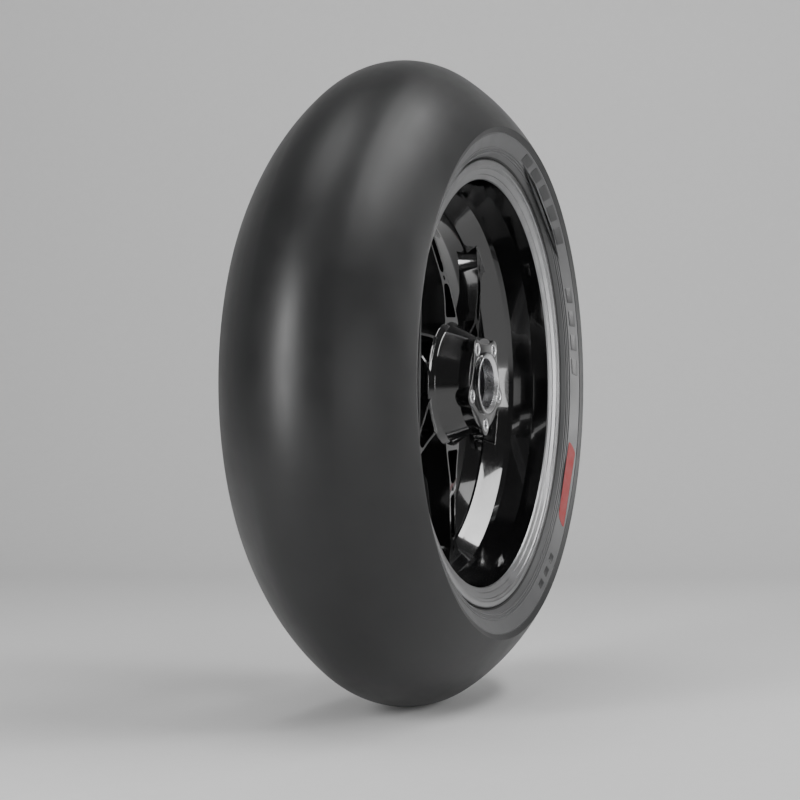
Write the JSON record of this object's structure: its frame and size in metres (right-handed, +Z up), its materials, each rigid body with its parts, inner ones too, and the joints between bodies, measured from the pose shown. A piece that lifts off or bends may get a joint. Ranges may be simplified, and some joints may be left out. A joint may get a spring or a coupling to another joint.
{
  "type": "motorcycle tire on wheel",
  "caption": "Wide slick road-race rear tyre, layered and beaded, on a gloss black forged wheel with swept spokes, lobed brake hub, wheel bearings and cushioned sprocket carrier.",
  "frame": {"origin": "the wheel's centre: on the axle's line, in the rim's centre plane", "axes": "+Y along the axle towards the sprocket side, +Z up, +X forwards; the brake-disc side faces -Y"},
  "size_m": [0.674, 0.204, 0.6739],
  "materials": {
    "tread_rubber": "satin slick compound",
    "sidewall_rubber": "smooth moulded satin",
    "chafer_rubber": "matte",
    "ply_rubber": "rubbered cord",
    "liner_rubber": "smooth",
    "steel_cord": "brass-coated steel cord in rubber",
    "belt_cord": "brass-coated steel cord in rubber",
    "gloss_black_paint": "high-gloss black paint on forged aluminium",
    "black_anodised": "black anodised, satin",
    "machined_steel": "turned",
    "spring_steel": "dark spring steel",
    "bearing_steel": "ground",
    "cage_plastic": "moulded",
    "seal_rubber": "moulded",
    "cush_rubber": "moulded",
    "raw_aluminium": "turned",
    "valve_alloy": "black anodised",
    "brass": "turned",
    "cap_plastic": "knurled",
    "weight_steel": "black coated"
  },
  "bodies": {
    "axle_stack": {"right_bearing_inner_ring": "bearing_steel", "axle_spacer_tube": "raw_aluminium", "left_bearing_inner_ring": "bearing_steel", "carrier_collar": "raw_aluminium", "carrier_bearing_inner_ring": "bearing_steel"},
    "wheel": {"tread_cap": "tread_rubber", "steel_belt": "belt_cord", "carcass_ply": "ply_rubber", "inner_liner": "liner_rubber", "sidewall_left": "sidewall_rubber", "sidewall_right": "sidewall_rubber", "chafer_left": "chafer_rubber", "chafer_right": "chafer_rubber", "bead_core_left": "steel_cord", "bead_core_right": "steel_cord", "bead_filler_left": "ply_rubber", "bead_filler_right": "ply_rubber", "wheel_rim": "gloss_black_paint", "wheel_spokes": "gloss_black_paint", "wheel_hub": "gloss_black_paint", "right_bearing_outer_ring": "bearing_steel", "left_bearing_outer_ring": "bearing_steel", "right_bearing_seals": "seal_rubber", "left_bearing_seals": "seal_rubber", "bearing_circlip": "spring_steel", "cush_rubbers": "cush_rubber", "valve_stem": "valve_alloy", "valve_seal": "cush_rubber", "valve_nut": "valve_alloy", "valve_core": "brass", "balance_weights": "weight_steel"},
    "carrier": {"sprocket_carrier": "black_anodised", "carrier_bearing_outer_ring": "bearing_steel", "carrier_bearing_seals": "seal_rubber", "sprocket_studs": "machined_steel"},
    "right_ball_set": {"right_bearing_balls": "bearing_steel", "right_bearing_cage": "cage_plastic"},
    "left_ball_set": {"left_bearing_balls": "bearing_steel", "left_bearing_cage": "cage_plastic"},
    "carrier_ball_set": {"carrier_bearing_balls": "bearing_steel", "carrier_bearing_cage": "cage_plastic"},
    "valve_pin": {"valve_pin": "brass"},
    "valve_cap": {"valve_cap": "cap_plastic"}
  },
  "joints": [
    {"name": "wheel_spin", "type": "hinge", "parent": "axle_stack", "child": "wheel", "pos_m": [0, 0, 0], "axis": [0, 1, 0], "continuous": true},
    {"name": "cush_drive", "type": "hinge", "parent": "wheel", "child": "carrier", "pos_m": [0, 0, 0], "axis": [0, 1, 0], "range_deg": [-2.5, 2.5], "stiffness_Nm_per_rad": 600},
    {"name": "right_ball_orbit", "type": "hinge", "parent": "axle_stack", "child": "right_ball_set", "pos_m": [0, -0.0545, 0], "axis": [0, 1, 0], "continuous": true},
    {"name": "left_ball_orbit", "type": "hinge", "parent": "axle_stack", "child": "left_ball_set", "pos_m": [0, 0.0375, 0], "axis": [0, 1, 0], "continuous": true},
    {"name": "carrier_ball_orbit", "type": "hinge", "parent": "axle_stack", "child": "carrier_ball_set", "pos_m": [0, 0.0665, 0], "axis": [0, 1, 0], "continuous": true},
    {"name": "valve_pin_press", "type": "slide", "parent": "wheel", "child": "valve_pin", "axis": [0, 1, 0], "range_m": [0, 0.0015], "stiffness_N_per_m": 400, "springref_m": -0.003},
    {"name": "valve_cap_off", "type": "slide", "parent": "wheel", "child": "valve_cap", "axis": [0, -1, 0], "range_m": [0, 0.009]}
  ],
  "couplings": [
    {"joint": "right_ball_orbit", "follows": "wheel_spin", "ratio": 0.6031},
    {"joint": "left_ball_orbit", "follows": "wheel_spin", "ratio": 0.6031},
    {"joint": "carrier_ball_orbit", "follows": "wheel_spin", "ratio": 0.6031}
  ]
}
